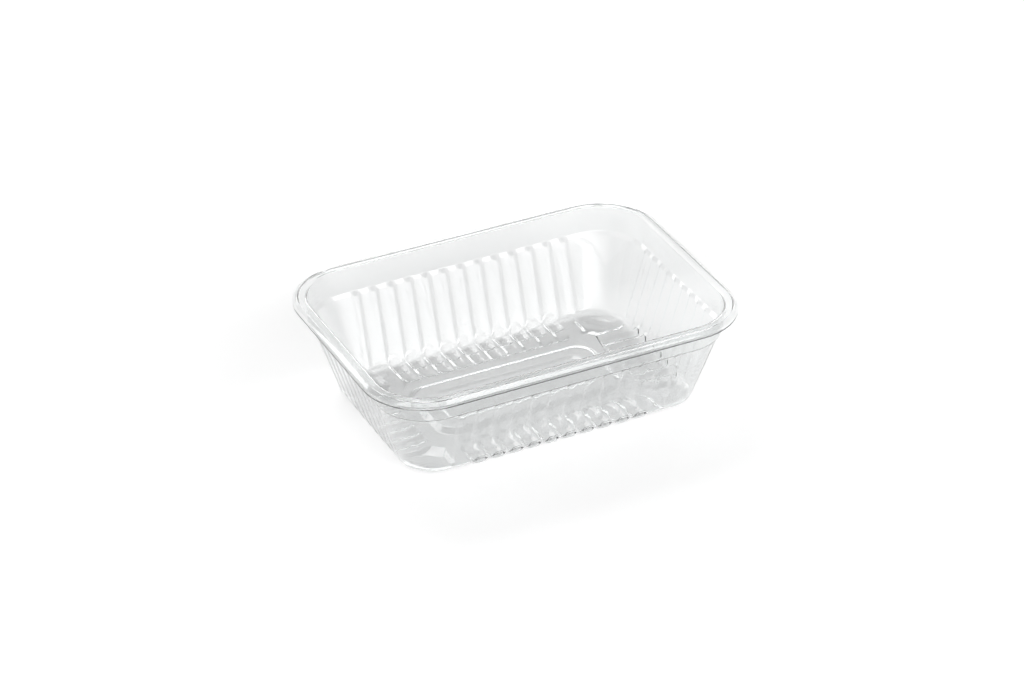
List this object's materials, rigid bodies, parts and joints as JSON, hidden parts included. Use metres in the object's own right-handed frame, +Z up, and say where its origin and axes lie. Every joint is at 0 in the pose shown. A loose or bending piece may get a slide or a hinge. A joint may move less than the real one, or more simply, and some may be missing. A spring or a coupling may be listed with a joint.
{
  "type": "food tray",
  "caption": "Rounded rectangular clear plastic food tray with a flanged rim, ribbed tapering walls and a base that stands on pads.",
  "frame": {"origin": "centre of the tray's footprint, on the surface it stands on", "axes": "+X along the length, +Y across the width, +Z up out of the open mouth"},
  "size_m": [0.187, 0.1344, 0.0514],
  "materials": {
    "clear_plastic": "clear glossy thermoformed sheet, neutral, slightly wavy from forming"
  },
  "bodies": {
    "root": {"tray": "clear_plastic"}
  },
  "joints": []
}
